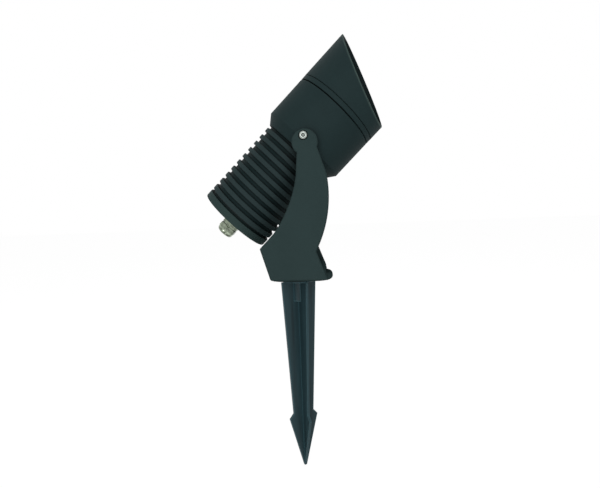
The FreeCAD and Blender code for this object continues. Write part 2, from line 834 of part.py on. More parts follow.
def glare_hood():
    """Tube cut on a slant, with a socket and a snap groove that let it turn on the bezel."""
    socket_r = bezel_spigot_r + spigot_gap
    socket_front = bezel_band_front + bezel_spigot_length + spigot_gap
    groove_rear = bezel_band_front + snap_ring_at - spigot_gap
    groove_front = groove_rear + snap_ring_w + 2 * spigot_gap
    groove_r = bezel_spigot_r + snap_ring_rise + spigot_gap
    far = 2 * hood_axis_front
    tube = turned([
        (hood_rear, socket_r),
        (hood_rear, hood_r - edge_break),
        (hood_rear + edge_break, hood_r),
        (far, hood_r),
        (far, hood_r - hood_wall),
        (socket_front, hood_r - hood_wall),
        (socket_front, socket_r),
        (groove_front, socket_r),
        (groove_front, groove_r),
        (groove_rear, groove_r),
        (groove_rear, socket_r),
    ])
    keep = Part.makeBox(2 * far, 2 * far, 2 * far, V(-2 * far, -far, -far))
    keep.rotate(V(0, 0, 0), V(0, 1, 0), hood_slant)
    keep.translate(V(hood_axis_front, 0, 0))
    hood = tube.common(keep)
    hood.rotate(V(0, 0, 0), V(1, 0, 0), hood_turn)
    return in_head(hood)


# ---- pivot ------------------------------------------------------------------------------------
def pivot_washers():
    washer = Part.makeCylinder(pivot_boss_r, arm_inner - boss_face, V(0, -arm_inner, 0), V(0, 1, 0))
    washer = washer.cut(Part.makeCylinder(pivot_screw_r + part_gap, arm_outer, V(0, -arm_outer, 0), V(0, 1, 0)))
    return at_pivot(Part.makeCompound(both_sides(washer)))


def pivot_screws():
    """Button-head screw: a low dome with a pinned hexagon socket, on a shaft into the cup's boss."""
    seat = -pivot_seat
    face = seat - pivot_screw_head_h
    head = turned([(face, 0), (face, pivot_screw_top_r), (seat - pivot_screw_shoulder_h, pivot_screw_shoulder_r),
                   (seat - edge_break, pivot_screw_head_r), (seat, pivot_screw_head_r), (seat, 0)])
    shaft = rod(seat, screw_tip_room - boss_inner, pivot_screw_r)
    socket_floor = face + pivot_screw_socket_depth
    socket = hexagon(face, socket_floor, pivot_screw_socket)
    pin = rod(face + pivot_screw_pin_drop, socket_floor, pivot_screw_pin_r)
    screw = fused([head, shaft]).cut(socket.cut(pin))
    screw.rotate(V(0, 0, 0), V(0, 0, 1), 90)
    return at_pivot(Part.makeCompound(both_sides(screw)))


# ---- output -----------------------------------------------------------------------------------
NODES = (
    ground_spike, swivel_washer, spike_washer, lock_washer, spike_screw,
    yoke_bracket, pivot_bushes,
    lamp_cup, cup_seal, housing_screws, heat_sink_body,
    rear_cap, rear_gasket, rear_cap_screws, gland_washer, gland_body, gland_nut, gland_seal, gland_locknut,
    thermal_pad, led_board, led_chip, led_emitter, led_holder, led_screws, led_leads, reflector,
    driver_module, terminal_block,
    lens_gasket, lens_glass, bezel_seal, front_bezel, snap_ring, glare_hood,
    pivot_washers, pivot_screws,
)

os.makedirs("parts", exist_ok=True)
for node in NODES:
    shape = node()
    shape.exportStep("parts/" + node.__name__ + ".step")
    print(node.__name__, len(shape.Solids), "valid" if shape.isValid() else "INVALID",
          round(shape.Volume / 1000, 2), "cm3")
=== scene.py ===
import bpy
import bmesh
import math
from mathutils import Matrix, Vector


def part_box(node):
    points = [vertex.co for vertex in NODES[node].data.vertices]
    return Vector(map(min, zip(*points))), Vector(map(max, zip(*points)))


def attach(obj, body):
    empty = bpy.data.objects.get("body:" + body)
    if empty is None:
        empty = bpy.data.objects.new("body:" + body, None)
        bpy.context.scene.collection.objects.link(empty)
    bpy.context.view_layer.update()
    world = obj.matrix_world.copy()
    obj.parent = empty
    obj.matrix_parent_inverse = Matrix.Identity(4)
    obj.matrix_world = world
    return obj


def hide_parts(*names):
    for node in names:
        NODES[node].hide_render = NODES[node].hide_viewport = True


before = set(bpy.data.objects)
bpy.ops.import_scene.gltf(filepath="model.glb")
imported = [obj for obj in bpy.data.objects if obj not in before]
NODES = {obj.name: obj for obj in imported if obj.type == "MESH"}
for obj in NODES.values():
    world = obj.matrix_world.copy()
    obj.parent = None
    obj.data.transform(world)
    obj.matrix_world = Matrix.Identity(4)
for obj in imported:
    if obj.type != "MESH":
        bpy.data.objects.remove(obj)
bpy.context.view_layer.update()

MM = 0.001

# ---- places on the head where a finish, a painted shade or a painted light changes, in metres -----
HEAD_TURN = (0.0, math.radians(44.7), 0.0)
PIVOT = tuple((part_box("pivot_screws")[0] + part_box("pivot_screws")[1]) / 2)
SCREW_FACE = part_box("pivot_screws")[1].y
# distances from the head's axis
GROOVE_R, CREST_R = 0.0354, 0.0373
SPIGOT_FACE_R, SPIGOT_SKIN_R = 0.0406, 0.0410
BEZEL_FACE_R, BEZEL_SKIN_R = 0.0437, 0.0442
HOOD_BORE_R, HOOD_SKIN_R = 0.0428, 0.0441
# distances forward of the pivot, along the head's axis
BEZEL_BAND_MID = 0.0440
GLAND_TIP = -0.1223
# heights over the head's axis between which the bezel's rear groove goes from painted light, low down,
# to painted shade
SEAM_LOW, SEAM_HIGH = -0.042, -0.018
# the plane of the hood's slanted mouth, and how deep the painted highlight along its lip reaches
MOUTH_NORMAL = (0.8910, -0.2406, -0.3850)
MOUTH_REACH = 0.0736
LIP_HIGHLIGHT_FULL, LIP_HIGHLIGHT_END = 0.0007, 0.0015


# ---- camera -----------------------------------------------------------------------------------
CAMERA_PLACE = (0.02550, -0.43272, 0.07228)
CAMERA_RIGHT = (0.99809, 0.04909, -0.03747)
CAMERA_UP = (0.0334, 0.0813, 0.9961)
CAMERA_LENS = 25.575
SENSOR = 36.0
CLIP_START, CLIP_END = 0.01, 50.0


def add_camera():
    data = bpy.data.cameras.new("camera")
    data.sensor_width = SENSOR
    data.lens = CAMERA_LENS
    data.clip_start = CLIP_START
    data.clip_end = CLIP_END
    camera = bpy.data.objects.new("camera", data)
    bpy.context.scene.collection.objects.link(camera)
    right = Vector(CAMERA_RIGHT).normalized()
    back = right.cross(Vector(CAMERA_UP)).normalized()
    up = back.cross(right)
    matrix = Matrix((right, up, back)).transposed().to_4x4()
    matrix.translation = Vector(CAMERA_PLACE)
    camera.matrix_world = matrix
    bpy.context.scene.camera = camera


# ---- colours ------------------------------------------------------------------------------------
def linear(r, g, b):
    """Linear colour from sRGB values of 0 to 255."""
    out = []
    for value in (r, g, b):
        value = value / 255.0
        out.append(value / 12.92 if value <= 0.04045 else ((value + 0.055) / 1.055) ** 2.4)
    return (out[0], out[1], out[2], 1.0)


def scaled(colour, factor):
    return tuple(min(1.0, channel * factor) for channel in colour[:3]) + (1.0,)


BRACKET_PAINT = linear(47, 61, 61)
CUP_PAINT = linear(33, 47, 48)
FIN_PAINT = linear(41, 54, 55)
# painted shade in the grooves between fins, darker than the paint on their crests
FIN_GROOVE_SHADE = linear(27, 43, 44)
CAP_PAINT = linear(46, 61, 60)
# bare machined spigot, kept light so the narrow gap by the hood shows less shade: partly painted light
SPIGOT_METAL_LIGHTENED = linear(120, 128, 127)
# painted highlight along the hood's lip
HOOD_LIP_HIGHLIGHT = linear(60, 76, 73)
SPIKE_PLASTIC = linear(34, 55, 60)
STEEL = linear(196, 196, 194)
STAINLESS = linear(168, 175, 170)
NICKEL = linear(146, 156, 138)
BLACK_NYLON = linear(30, 31, 33)
SEAL_RUBBER = linear(28, 28, 29)
GLAND_RUBBER = linear(34, 34, 34)
PALE_RUBBER = linear(178, 183, 174)
HOLDER_PLASTIC = linear(228, 228, 224)
LEAD_SILICONE = linear(168, 30, 26)
TERMINAL_PLASTIC = linear(112, 116, 120)
# pairs of colours that a finish wanders between
THERMAL_PAD = linear(120, 124, 128), linear(150, 153, 156)
SOLDER_MASK = linear(226, 226, 220), linear(238, 238, 233)
CERAMIC = linear(228, 226, 216), linear(214, 205, 176)
PHOSPHOR = linear(232, 176, 40), linear(240, 200, 72)
REFLECTOR_FILM = linear(218, 220, 222), linear(198, 201, 205)
POTTING = linear(24, 25, 27), linear(38, 39, 42)
GLASS_TINT = linear(248, 252, 250), linear(240, 248, 245)


# ---- node helpers -------------------------------------------------------------------------------
# the values of a noise over which a colour or a roughness goes from one end to the other
NOISE_BAND = (0.3, 0.7)
COAT_BAND = (0.3, 0.75)
FILM_BAND = (0.35, 0.7)
SMEAR_BAND = (0.45, 0.75)
# the openness over which a coat goes from painted shade, where other surfaces stand close, to its own
# colour
OPEN_BAND = (0.35, 0.85)
# samples of the nodes that look around a place
EDGE_SAMPLES, OPEN_SAMPLES = 6, 8


class Look:
    """A Principled material with helpers for its procedural detail."""

    def __init__(self, name, metallic=0.0, **sockets):
        self.material = bpy.data.materials.new(name)
        self.material.use_nodes = True
        self.tree = self.material.node_tree
        self.shader = self.tree.nodes["Principled BSDF"]
        self.shader.inputs["Metallic"].default_value = metallic
        for socket, value in sockets.items():
            self.shader.inputs[socket.replace("_", " ")].default_value = value
        self.place = self.tree.nodes.new("ShaderNodeTexCoord").outputs["Object"]
        self.bumps = None

    def node(self, kind, **values):
        node = self.tree.nodes.new("ShaderNode" + kind)
        for key, value in values.items():
            setattr(node, key, value)
        return node

    def link(self, out, into):
        self.tree.links.new(out, into)

    def turned_place(self, turn=(0, 0, 0), stretch=(1, 1, 1)):
        """Object coordinates turned and stretched."""
        mapping = self.node("Mapping")
        mapping.inputs["Rotation"].default_value = turn
        mapping.inputs["Scale"].default_value = stretch
        self.link(self.place, mapping.inputs["Vector"])
        return mapping.outputs["Vector"]

    def vector(self, operation, first, second=None):
        """Result of a vector operation on one socket, with a constant vector if one is given."""
        node = self.node("VectorMath", operation=operation)
        self.link(first, node.inputs[0])
        if second:
            node.inputs[1].default_value = second
        return node.outputs["Value" if operation in ("LENGTH", "DOT_PRODUCT") else "Vector"]

    def head_place(self):
        """Place from the pivot in the head's own axes, X along its axis, in metres."""
        mapping = self.node("Mapping")
        mapping.inputs["Rotation"].default_value = HEAD_TURN
        self.link(self.vector("SUBTRACT", self.place, PIVOT), mapping.inputs["Vector"])
        return mapping.outputs["Vector"]

    def head_radius(self):
        """Distance from the head's axis, in metres."""
        return self.vector("LENGTH", self.vector("MULTIPLY", self.head_place(), (0.0, 1.0, 1.0)))

    def head_along(self):
        """Distance forward of the pivot along the head's axis, in metres."""
        return self.vector("DOT_PRODUCT", self.head_place(), (1.0, 0.0, 0.0))

    def head_up(self):
        """Distance above the head's axis, square to it, in metres."""
        return self.vector("DOT_PRODUCT", self.head_place(), (0.0, 0.0, 1.0))

    def mouth_depth(self):
        """How far a place lies behind the hood's slanted mouth, in metres."""
        reach = self.vector("DOT_PRODUCT", self.head_place(), MOUTH_NORMAL)
        return self.ranged(reach, MOUTH_REACH - 1.0, MOUTH_REACH, 1.0, 0.0)

    def noise(self, scale, detail=3.0, rough=0.6, place=None):
        noise = self.node("TexNoise")
        noise.inputs["Scale"].default_value = scale
        noise.inputs["Detail"].default_value = detail
        noise.inputs["Roughness"].default_value = rough
        self.link(place or self.place, noise.inputs["Vector"])
        return noise.outputs["Fac"]

    def cells(self, scale, place=None):
        cells = self.node("TexVoronoi")
        cells.inputs["Scale"].default_value = scale
        self.link(place or self.place, cells.inputs["Vector"])
        return cells.outputs["Distance"]

    def ranged(self, value, low, high, to_low=0.0, to_high=1.0):
        ranged = self.node("MapRange")
        self.link(value, ranged.inputs["Value"])
        for socket, number in (("From Min", low), ("From Max", high),
                               ("To Min", to_low), ("To Max", to_high)):
            ranged.inputs[socket].default_value = number
        return ranged.outputs["Result"]

    def times(self, first, second):
        """Product of two values, each a float or a socket."""
        node = self.node("Math", operation="MULTIPLY")
        for socket, value in zip(node.inputs, (first, second)):
            if isinstance(value, float):
                socket.default_value = value
            else:
                self.link(value, socket)
        return node.outputs[0]

    def mixed(self, share, first, second):
        """Colour between first and second, each a colour or a socket."""
        mix = self.node("Mix", data_type="RGBA")
        self.link(share, mix.inputs[0])
        for socket, value in ((mix.inputs[6], first), (mix.inputs[7], second)):
            if isinstance(value, tuple):
                socket.default_value = value
            else:
                self.link(value, socket)
        return mix.outputs[2]

    def clouded(self, noise, colour, share):
        """Colour that wanders with the noise by that share either way."""
        return self.mixed(self.ranged(noise, *NOISE_BAND),
                          scaled(colour, 1.0 - share), scaled(colour, 1.0 + share))

    def colour(self, socket):
        self.link(socket, self.shader.inputs["Base Color"])

    def roughness(self, noise, low, high, band=NOISE_BAND):
        """Roughness that follows the noise from low to high."""
        self.link(self.ranged(noise, *band, low, high), self.shader.inputs["Roughness"])

    def bump(self, height, depth_mm, strength=0.5):
        """Adds relief of that depth on top of what is there."""
        bump = self.node("Bump")
        bump.inputs["Distance"].default_value = depth_mm * MM
        bump.inputs["Strength"].default_value = strength
        self.link(height, bump.inputs["Height"])
        if self.bumps is not None:
            self.link(self.bumps, bump.inputs["Normal"])
        self.bumps = bump.outputs["Normal"]
        self.link(self.bumps, self.shader.inputs["Normal"])

    def edges(self, radius_mm, low, high):
        """0 on flat ground, up to 1 on an edge of about that radius."""
        bevel = self.node("Bevel", samples=EDGE_SAMPLES)
        bevel.inputs["Radius"].default_value = radius_mm * MM
        geometry = self.node("NewGeometry")
        dot = self.node("VectorMath", operation="DOT_PRODUCT")
        self.link(bevel.outputs["Normal"], dot.inputs[0])
        self.link(geometry.outputs["Normal"], dot.inputs[1])
        return self.ranged(dot.outputs["Value"], low, high, 1.0, 0.0)

    def openness(self, reach_mm):
        """1 in the open, down to 0 where other surfaces stand within that reach."""
        around = self.node("AmbientOcclusion", samples=OPEN_SAMPLES)
        around.inputs["Distance"].default_value = reach_mm * MM
        return self.ranged(around.outputs["AO"], *OPEN_BAND)


# ---- paints -------------------------------------------------------------------------------------
# scales of the noises, per metre
CLOUD_SCALE, PEEL_SCALE, SPECKLE_SCALE, GRAIN_SCALE = 28.0, 420.0, 1100.0, 2600.0
SCUFF_SCALE, LIP_SCALE = 160.0, 90.0
# relief in mm
PEEL_RELIEF, GRAIN_RELIEF = 0.020, 0.012
# the most that a light speckle, a rubbed edge and the painted highlight along the hood's lip cover the
# coat
SPECKLE_SHARE, SCUFF_SHARE, LIP_HIGHLIGHT_SHARE = 0.35, 0.55, 0.9
SPECKLE_TINT = 1.55
SCUFF_R_MM = 0.7


def powder_coat(name, colour, rough=0.6, grain=0.8, mottle=0.08, gloss=0.045, scuff=None, groove=None,
                bezel=None, hood=None, painted_shade=None):
    """Fine-textured polyester powder coat: grain, orange peel, faint clouding, scuffed edges.

    scuff is the colour of scuffed edges, and groove that of the painted shade between fins. bezel holds
    the painted shade in its rear groove, the painted light in the lower part of that groove and its bare
    spigot, kept
    light: partly painted light. hood holds the painted shade in its bore and the painted highlight along
    its lip. The last argument is a reach in mm and the share of the colour that is left where other
    surfaces stand close: painted shade between parts.
    """
    look = Look(name, Specular_IOR_Level=gloss)
    speckle = look.noise(SPECKLE_SCALE, 3.0, 0.7)
    base = look.clouded(look.noise(CLOUD_SCALE, 4.0), colour, mottle)
    light = look.ranged(speckle, 0.52, 0.78, 0.0, SPECKLE_SHARE)
    base = look.mixed(light, base, scaled(colour, SPECKLE_TINT))
    if groove:
        # painted shade: below the fins' crests the colour darkens into their grooves
        base = look.mixed(look.ranged(look.head_radius(), GROOVE_R, CREST_R), groove, base)
    if scuff:
        broken = look.ranged(look.noise(SCUFF_SCALE, 4.0, 0.7), 0.42, 0.62)
        lightened_edges = look.times(look.edges(SCUFF_R_MM, 0.72, 0.97), broken)
        base = look.mixed(look.times(lightened_edges, SCUFF_SHARE), base, scuff)
    if bezel:
        # painted shade in the bezel's rear groove, giving way to painted light at its lower end; the
        # bare spigot in front, kept light: partly painted light
        groove_painted_shade, groove_painted_light, spigot = bezel
        up = look.ranged(look.head_up(), SEAM_LOW, SEAM_HIGH)
        forward = look.ranged(look.head_along(), BEZEL_BAND_MID - MM, BEZEL_BAND_MID + MM)
        under = look.mixed(forward, look.mixed(up, groove_painted_light, groove_painted_shade), spigot)
        radius = look.head_radius()
        skin = look.mixed(look.ranged(radius, BEZEL_FACE_R, BEZEL_SKIN_R), under, base)
        base = look.mixed(look.ranged(radius, SPIGOT_FACE_R, SPIGOT_SKIN_R), base, skin)
    if hood:
        bore, lip = hood
        # painted highlight along the lip of the mouth, broken by a noise
        lip_highlight_share = look.times(look.ranged(look.mouth_depth(), LIP_HIGHLIGHT_FULL, LIP_HIGHLIGHT_END, LIP_HIGHLIGHT_SHARE, 0.0),
                            look.ranged(look.noise(LIP_SCALE), 0.3, 0.5, 0.65, 1.0))
        base = look.mixed(lip_highlight_share, base, lip)
        # painted shade inside the hood's bore
        base = look.mixed(look.ranged(look.head_radius(), HOOD_BORE_R, HOOD_SKIN_R), bore, base)
    # painted shade: the coat darkens where other surfaces stand close, between parts and in recesses
    if painted_shade:
        reach, dark = painted_shade
        base = look.mixed(look.openness(reach), scaled(colour, dark), base)
    look.colour(base)
    look.roughness(speckle, rough - 0.05, rough + 0.07, COAT_BAND)
    look.bump(look.noise(PEEL_SCALE, 2.0, 0.5), PEEL_RELIEF * grain)
    look.bump(look.noise(GRAIN_SCALE, 2.0), GRAIN_RELIEF * grain, 0.6)
    return look.material


# ---- plastics and rubbers -----------------------------------------------------------------------
# scales of the noises, per metre, and relief in mm
FLOW_SCALE, SCRATCH_SCALE, FINE_SCALE = 60.0, 900.0, 1500.0
BLOOM_SCALE, PORE_SCALE = 120.0, 2200.0
FLOW_RELIEF, FINE_RELIEF, PORE_RELIEF = 0.03, 0.008, 0.02
SCRATCH_TURN = (0.4, 0.2, 0.5)
SCRATCH_STRETCH = (1.0, 0.06, 1.0)
SCRATCH_SHARE, SCRATCH_TINT = 0.3, 1.6
# lightened edges, a painted highlight: their radius and tint
EDGE_HIGHLIGHT_R_MM, EDGE_HIGHLIGHT_TINT = 1.8, 2.3
BLOOM_TINT = 1.6


def moulded(name, colour, rough, sheen=0.45, mottle=0.08, streak=None, flow_scale=FLOW_SCALE, edge_highlight=0.0):
    """Injection-moulded plastic: faint flow streaks, fine grain, small scratches and edges lightened as
    a painted highlight.
    """
    look = Look(name, Specular_IOR_Level=sheen)
    flow = look.noise(flow_scale, 4.0, place=look.turned_place(stretch=streak) if streak else None)
    fine = look.noise(FINE_SCALE)
    scratch = look.noise(SCRATCH_SCALE, 2.0, 0.5, look.turned_place(SCRATCH_TURN, SCRATCH_STRETCH))
    base = look.clouded(flow, colour, mottle)
    scratched = look.ranged(scratch, 0.66, 0.78, 0.0, SCRATCH_SHARE)
    base = look.mixed(scratched, base, scaled(colour, SCRATCH_TINT))
    if edge_highlight:
        # painted highlight: edges lightened
        lightened_edges = look.times(look.edges(EDGE_HIGHLIGHT_R_MM, 0.93, 0.997), edge_highlight)
        base = look.mixed(lightened_edges, base, scaled(colour, EDGE_HIGHLIGHT_TINT))
    look.colour(base)
    look.roughness(fine, rough - 0.06, rough + 0.08)
    look.bump(flow, FLOW_RELIEF, 0.35)
    look.bump(fine, FINE_RELIEF)
    return look.material


def rubber(name, colour, rough=0.72):
    """Matt rubber with a pale bloom and fine pores."""
    look = Look(name, Specular_IOR_Level=0.3)
    bloom = look.noise(BLOOM_SCALE, 4.0, 0.65)
    look.colour(look.mixed(look.ranged(bloom, 0.4, 0.72), colour, scaled(colour, BLOOM_TINT)))
    look.roughness(bloom, rough - 0.08, rough + 0.1)
    look.bump(look.cells(PORE_SCALE), PORE_RELIEF)
    return look.material


def potting_look():
    """Poured resin: slow waves and small bubbles."""
    look = Look("driver_potting", Specular_IOR_Level=0.5)
    pour = look.noise(45.0, 3.0, 0.5)
    bubbles = look.cells(520.0)
    look.colour(look.mixed(look.ranged(pour, *NOISE_BAND), *POTTING))
    look.roughness(pour, 0.28, 0.46)
    look.bump(pour, 0.25)
    look.bump(look.ranged(bubbles, 0.0, 0.14, 1.0, 0.0), 0.05, 0.4)
    return look.material


# ---- metals -------------------------------------------------------------------------------------
# scales of tool marks, across and along them
TOOL_MARKS = (3200.0, 90.0, 90.0)
# tints of the steel: polished, dull and scratched
STEEL_TINTS = (1.05, 0.82, 0.65)
# tints of the nickel: dark patches that are painted reflections, clouds, a painted highlight ring and a
# painted dark reflection
NICKEL_TINTS = (0.5, 0.6, 2.2, 0.05)
# where the painted highlight ring begins and ends and the painted dark reflection ends, in mm behind the
# gland's tip
RING_START, RING_END, DARK_REFLECTION_END = (1.8, 3.0), (4.0, 5.4), (1.4, 4.4)
# the shade in the screw's socket: its tint, its depth below the head's face and its radius, in mm
SHADE_TINT = 0.12
SHADE_DEPTH, SHADE_R = (0.75, 0.45), (1.60, 1.75)


def steel_look():
    """Plated steel: fine tool marks, small scratches, unevenly polished."""
    look = Look("steel", metallic=1.0)
    marks = look.noise(1.0, place=look.turned_place((0.0, 0.0, math.radians(90.0)), TOOL_MARKS))
    cloud = look.noise(420.0, 4.0)
    scratch = look.noise(700.0, place=look.turned_place((0.7, 0.3, 0.2), (1.0, 0.08, 1.0)))
    bright, dull, scratched = (scaled(STEEL, tint) for tint in STEEL_TINTS)
    base = look.mixed(look.ranged(cloud, *FILM_BAND), bright, dull)
    look.colour(look.mixed(look.ranged(scratch, 0.62, 0.75, 0.0, 0.35), base, scratched))
    look.roughness(cloud, 0.21, 0.38, COAT_BAND)
    look.bump(marks, 0.004, 0.6)
    look.bump(scratch, 0.002, 0.4)
    return look.material


def nickel_look():
    """Nickel-plated brass: grey-green film, dark blotches as painted reflections, a painted dark
    reflection at the domed end and a painted highlight all round behind it.
    """
    look = Look("nickel", metallic=1.0)
    patch = look.noise(260.0)
    along = look.head_along()
    reflection_patches, clouds, highlight_tint, dark_reflection = (scaled(NICKEL, tint) for tint in NICKEL_TINTS)

    def from_tip(band_mm, to_low, to_high):
        low, high = band_mm
        return look.ranged(along, GLAND_TIP + low * MM, GLAND_TIP + high * MM, to_low, to_high)

    # dark patches at random, as painted reflections
    base = look.mixed(look.ranged(patch, 0.40, 0.60), NICKEL, reflection_patches)
    base = look.mixed(look.ranged(look.noise(900.0), 0.5, 0.75, 0.0, 0.4), base, clouds)
    # painted highlight: a bright ring behind the domed end
    highlight_ring = look.times(from_tip(RING_START, 0.0, 1.0), from_tip(RING_END, 0.9, 0.0))
    base = look.mixed(look.times(highlight_ring, look.ranged(patch, 0.35, 0.55, 1.0, 0.35)), base, highlight_tint)
    # painted dark reflection at the domed end, in patches
    film = look.times(from_tip(DARK_REFLECTION_END, 0.95, 0.0), look.ranged(patch, 0.44, 0.53, 0.1, 1.0))
    look.colour(look.mixed(film, base, dark_reflection))
    look.roughness(patch, 0.16, 0.34)
    look.bump(look.noise(1.0, place=look.turned_place(HEAD_TURN, TOOL_MARKS)), 0.003, 0.6)
    return look.material


def stainless_look():
    """Turned stainless screw, its hexagon socket darkened below the centre pin."""
    look = Look("stainless", metallic=1.0)
    about = look.vector("SUBTRACT", look.place, PIVOT)
    radius = look.vector("LENGTH", look.vector("MULTIPLY", about, (1.0, 0.0, 1.0)))
    along = look.vector("DOT_PRODUCT", look.vector("ABSOLUTE", about), (0.0, 1.0, 0.0))
    rings = look.node("TexWave", wave_type="RINGS", rings_direction="Y")
    look.link(about, rings.inputs["Vector"])
    rings.inputs["Scale"].default_value = 900.0
    cloud = look.noise(500.0)
    metal = look.mixed(look.ranged(cloud, *NOISE_BAND), STAINLESS, scaled(STAINLESS, 0.88))
    deep, shallow = (SCREW_FACE - depth * MM for depth in SHADE_DEPTH)
    inner, outer = (reach * MM for reach in SHADE_R)
    shade = look.times(look.ranged(along, deep, shallow, 1.0, 0.0),
                       look.ranged(radius, inner, outer, 1.0, 0.0))
    look.colour(look.mixed(shade, metal, scaled(STAINLESS, SHADE_TINT)))
    look.roughness(cloud, 0.38, 0.46)
    look.bump(rings.outputs["Fac"], 0.002, 0.4)
    return look.material


def reflector_look():
    """Vacuum-metallised reflector with the hammered relief that evens the beam."""
    look = Look("reflector", metallic=1.0)
    film = look.noise(60.0)
    look.colour(look.mixed(look.ranged(film, *FILM_BAND), *REFLECTOR_FILM))
    look.roughness(film, 0.12, 0.2)
    look.bump(look.cells(430.0), 0.12, 0.55)
    return look.material


# ---- glass and electronics ----------------------------------------------------------------------
def glass_look():
    """Tempered glass with a green tint, faint smears and a little dust."""
    look = Look("front_glass", Transmission_Weight=1.0, IOR=1.5)
    smear = look.noise(26.0, 4.0, place=look.turned_place((0.3, 0.6, 0.2), (1.0, 0.35, 1.0)))
    look.colour(look.mixed(look.ranged(smear, *FILM_BAND), *GLASS_TINT))
    look.roughness(smear, 0.015, 0.09, SMEAR_BAND)
    look.bump(look.noise(2300.0, 2.0, 0.7), 0.0015, 0.3)
    return look.material


def thermal_pad_look():
    """Soft grey filled silicone."""
    look = Look("thermal_pad", Specular_IOR_Level=0.25)
    grain = look.noise(1800.0, 4.0, 0.7)
    look.colour(look.mixed(look.ranged(grain, *FILM_BAND), *THERMAL_PAD))
    look.roughness(grain, 0.75, 0.9)
    look.bump(grain, 0.02, 0.6)
    return look.material


def board_look():
    """White solder mask over a faint relief of copper pads."""
    look = Look("led_board", Specular_IOR_Level=0.55)
    pads = look.cells(300.0)
    weave = look.noise(1500.0, 2.0, 0.5)
    look.colour(look.mixed(look.ranged(pads, 0.25, 0.4), *SOLDER_MASK))
    look.roughness(weave, 0.3, 0.42)
    look.bump(pads, 0.03, 0.3)
    look.bump(weave, 0.006)
    return look.material


def ceramic_look():
    """White ceramic with faint gold traces."""
    look = Look("led_ceramic", Specular_IOR_Level=0.5)
    grain = look.noise(2400.0)
    trace = look.cells(240.0, look.turned_place(HEAD_TURN))
    look.colour(look.mixed(look.ranged(trace, 0.3, 0.36), *CERAMIC))
    look.roughness(grain, 0.35, 0.5)
    look.bump(grain, 0.01)
    return look.material


def phosphor_look():
    """Yellow phosphor gel over a grid of dies that just show through."""
    look = Look("led_phosphor", Specular_IOR_Level=0.6)
    dies = look.cells(620.0, look.turned_place(HEAD_TURN))
    look.colour(look.mixed(look.ranged(dies, 0.1, 0.55), *PHOSPHOR))
    look.roughness(look.noise(1400.0), 0.22, 0.34)
    look.bump(dies, 0.03, 0.4)
    return look.material


# ---- looks and what each piece wears ------------------------------------------------------------
looks = {
    # bracket, cup, fins and cap: painted shade where other parts stand close
    "bracket": powder_coat("bracket_paint", BRACKET_PAINT, rough=0.75, grain=1.0, mottle=0.05, gloss=0.0,
                           scuff=scaled(BRACKET_PAINT, 2.0), painted_shade=(60.0, 0.25)),
    "cup": powder_coat("cup_paint", CUP_PAINT, scuff=scaled(CUP_PAINT, 2.2), painted_shade=(10.0, 0.4)),
    # bezel: painted shade and painted light in its rear groove, its bare spigot kept light
    "bezel": powder_coat("bezel_paint", CUP_PAINT,
                         bezel=(scaled(CUP_PAINT, 0.2), scaled(CUP_PAINT, 3.0), SPIGOT_METAL_LIGHTENED)),
    # hood: painted shade in its bore and a painted highlight along its lip
    "hood": powder_coat("hood_paint", CUP_PAINT, hood=(scaled(CUP_PAINT, 0.5), HOOD_LIP_HIGHLIGHT)),
    # fins and cap: painted shade in their grooves
    "fins": powder_coat("fin_paint", FIN_PAINT, scuff=scaled(FIN_PAINT, 2.0), groove=FIN_GROOVE_SHADE,
                        painted_shade=(32.0, 0.10)),
    "cap": powder_coat("cap_paint", CAP_PAINT, scuff=scaled(CAP_PAINT, 1.9), groove=FIN_GROOVE_SHADE,
                       painted_shade=(32.0, 0.15)),
    # spike: painted highlight on its edges
    "spike": moulded("spike_nylon", SPIKE_PLASTIC, 0.40, sheen=0.2, mottle=0.34, streak=(1.0, 1.0, 0.05),
                     flow_scale=240.0, edge_highlight=1.0),
    "steel": steel_look(),
    "stainless": stainless_look(),
    "nickel": nickel_look(),
    "nylon": moulded("black_nylon", BLACK_NYLON, 0.48),
    "rubber": rubber("seal_rubber", SEAL_RUBBER),
    "gland_rubber": rubber("gland_rubber", GLAND_RUBBER, 0.62),
    "pale_rubber": rubber("pale_rubber", PALE_RUBBER, 0.6),
    "pad": thermal_pad_look(),
    "board": board_look(),
    "ceramic": ceramic_look(),
    "phosphor": phosphor_look(),
    "holder": moulded("holder_plastic", HOLDER_PLASTIC, 0.42, sheen=0.4),
    "lead": moulded("lead_silicone", LEAD_SILICONE, 0.45, sheen=0.35),
    "reflector": reflector_look(),
    "potting": potting_look(),
    "terminal": moulded("terminal_plastic", TERMINAL_PLASTIC, 0.46),
    "glass": glass_look(),
}

WEARERS = {
    "spike": ("ground_spike",),
    "bracket": ("yoke_bracket",),
    "cup": ("lamp_cup",),
    "fins": ("heat_sink_body",),
    "cap": ("rear_cap",),
    "bezel": ("front_bezel",),
    "hood": ("glare_hood",),
    "nylon": ("swivel_washer", "pivot_bushes", "pivot_washers"),
    "steel": ("spike_washer", "lock_washer", "spike_screw", "housing_screws", "rear_cap_screws",
              "led_screws", "snap_ring"),
    "stainless": ("pivot_screws",),
    "nickel": ("gland_body", "gland_nut", "gland_locknut"),
    "rubber": ("cup_seal", "rear_gasket", "lens_gasket", "bezel_seal"),
    "gland_rubber": ("gland_seal",),
    "pale_rubber": ("gland_washer",),
    "pad": ("thermal_pad",),
    "board": ("led_board",),
    "ceramic": ("led_chip",),
    "phosphor": ("led_emitter",),
    "holder": ("led_holder",),
    "lead": ("led_leads",),
    "reflector": ("reflector",),
    "potting": ("driver_module",),
    "terminal": ("terminal_block",),
    "glass": ("lens_glass",),
}
for look, wearers in WEARERS.items():
    for node in wearers:
        NODES[node].material_slots[0].material = looks[look]


